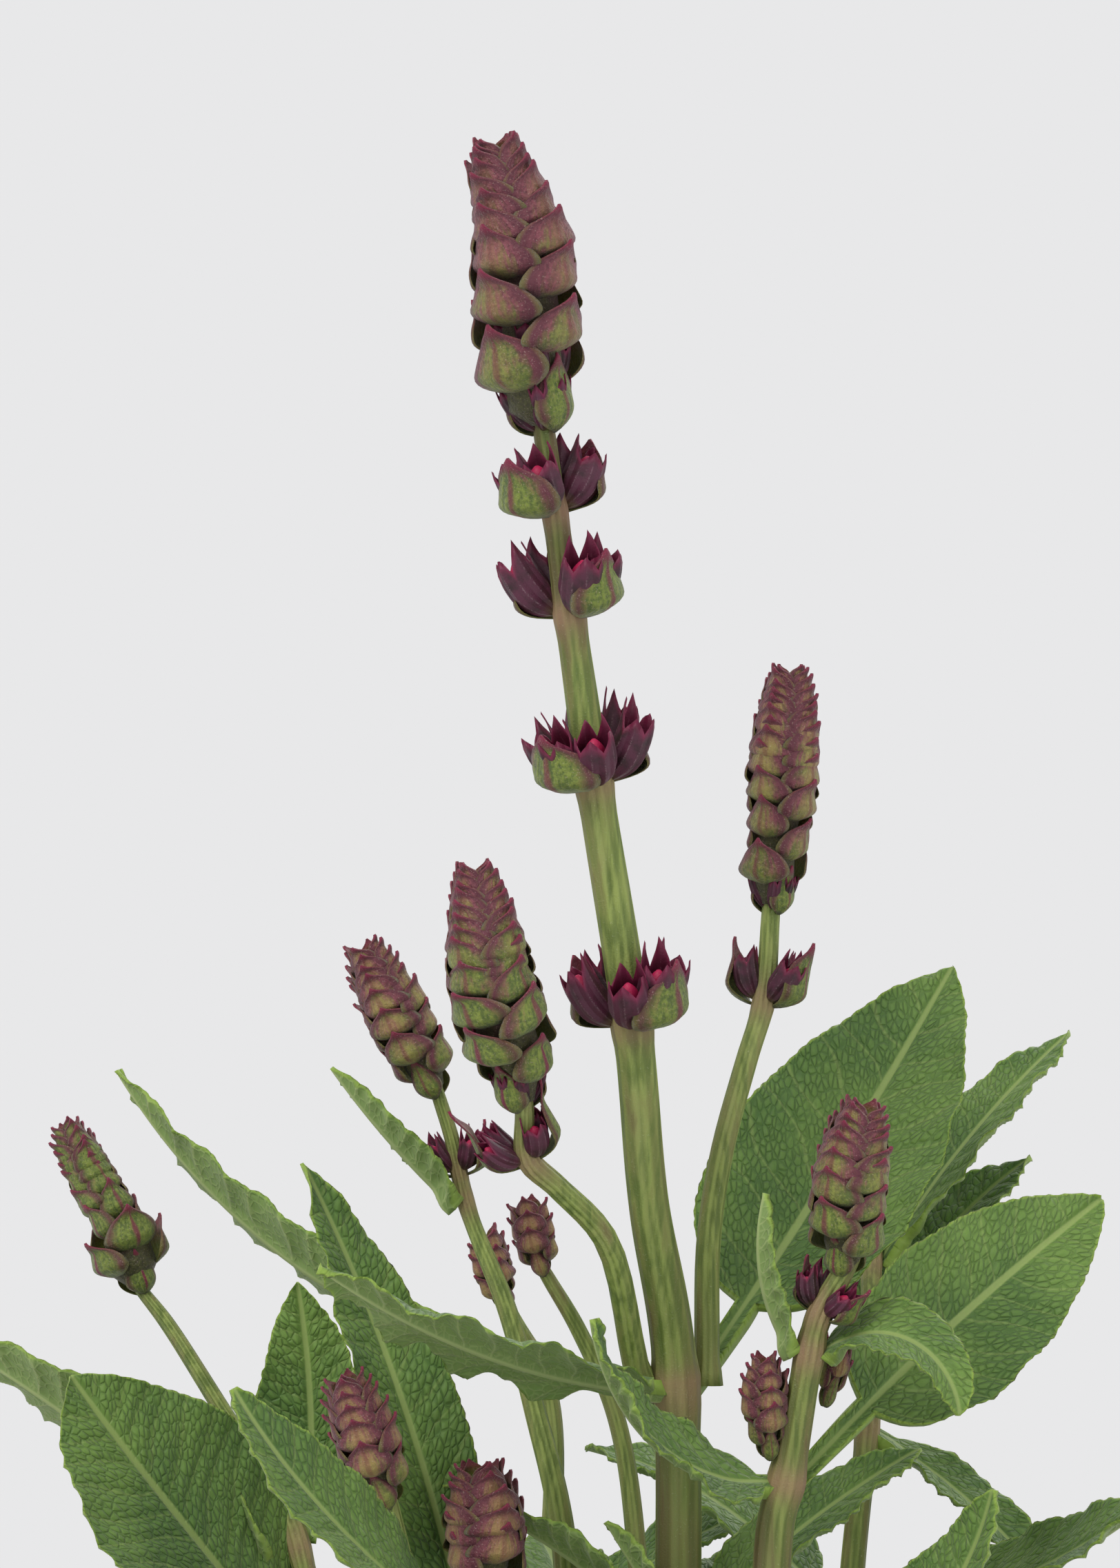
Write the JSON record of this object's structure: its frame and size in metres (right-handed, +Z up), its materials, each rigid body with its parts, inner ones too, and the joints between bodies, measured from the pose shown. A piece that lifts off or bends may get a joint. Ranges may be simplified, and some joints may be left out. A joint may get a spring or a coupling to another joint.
{
  "type": "potted sage",
  "caption": "Woodland sage in bud: square leafy stems with whorled purple flower spikes, rooted in a plain round clay pot with drainage holes.",
  "frame": {"origin": "centre of the pot's flat underside", "axes": "+Z up out of the pot, -Y towards the front of the plant, +X to its right"},
  "size_m": [0.1328, 0.1375, 0.3014],
  "materials": {
    "clay": "unglazed terracotta, matt, slightly chalky",
    "soil": "damp crumbly potting compost",
    "stem": "fresh square herb stem, fine hairs, purple tinge on the corners",
    "leaf": "matt wrinkled herb leaf with pale veins",
    "spike_bract": "matt purple-pink bract with green at its base",
    "calyx": "dark purple ribbed calyx, matt"
  },
  "bodies": {
    "root": {"bract_back_left": "leaf", "bract_front_right": "leaf", "bract_front_right_inner": "leaf", "leaf_back_right_down": "leaf", "leaf_back_right_front": "leaf", "leaf_back_right_top": "leaf", "leaf_back_right_up": "leaf", "leaf_base_front": "leaf", "leaf_base_front_right": "leaf", "leaf_far_left_inner": "leaf", "leaf_far_left_low": "leaf", "leaf_far_left_outer": "leaf", "leaf_front_left_back": "leaf", "leaf_front_left_front": "leaf", "leaf_front_right_inner": "leaf", "leaf_front_right_low": "leaf", "leaf_front_right_outer": "leaf", "leaf_low_back": "leaf", "leaf_low_back_left": "leaf", "leaf_low_back_right": "leaf", "leaf_low_front": "leaf", "leaf_low_front_left": "leaf", "leaf_low_front_right": "leaf", "leaf_low_left": "leaf", "leaf_low_right": "leaf", "leaf_main_left": "leaf", "leaf_main_right": "leaf", "leaf_rear_left": "leaf", "pot": "clay", "soil": "soil", "spike_back_centre": "spike_bract", "spike_back_left": "spike_bract", "spike_back_right": "spike_bract", "spike_far_left": "spike_bract", "spike_front_left": "spike_bract", "spike_front_left_branch": "spike_bract", "spike_front_right": "spike_bract", "spike_left": "spike_bract", "spike_main": "spike_bract", "spike_rear": "spike_bract", "spike_right": "spike_bract", "stem_back_centre": "stem", "stem_back_left": "stem", "stem_back_right": "stem", "stem_far_left": "stem", "stem_front_left": "stem", "stem_front_left_branch": "stem", "stem_front_right": "stem", "stem_left": "stem", "stem_main": "stem", "stem_rear": "stem", "stem_right": "stem", "whorl_back_left": "calyx", "whorl_front_right": "calyx", "whorl_left": "calyx", "whorl_main_high": "calyx", "whorl_main_low": "calyx", "whorl_main_lowest": "calyx", "whorl_main_middle": "calyx", "whorl_right": "calyx"}
  },
  "joints": []
}
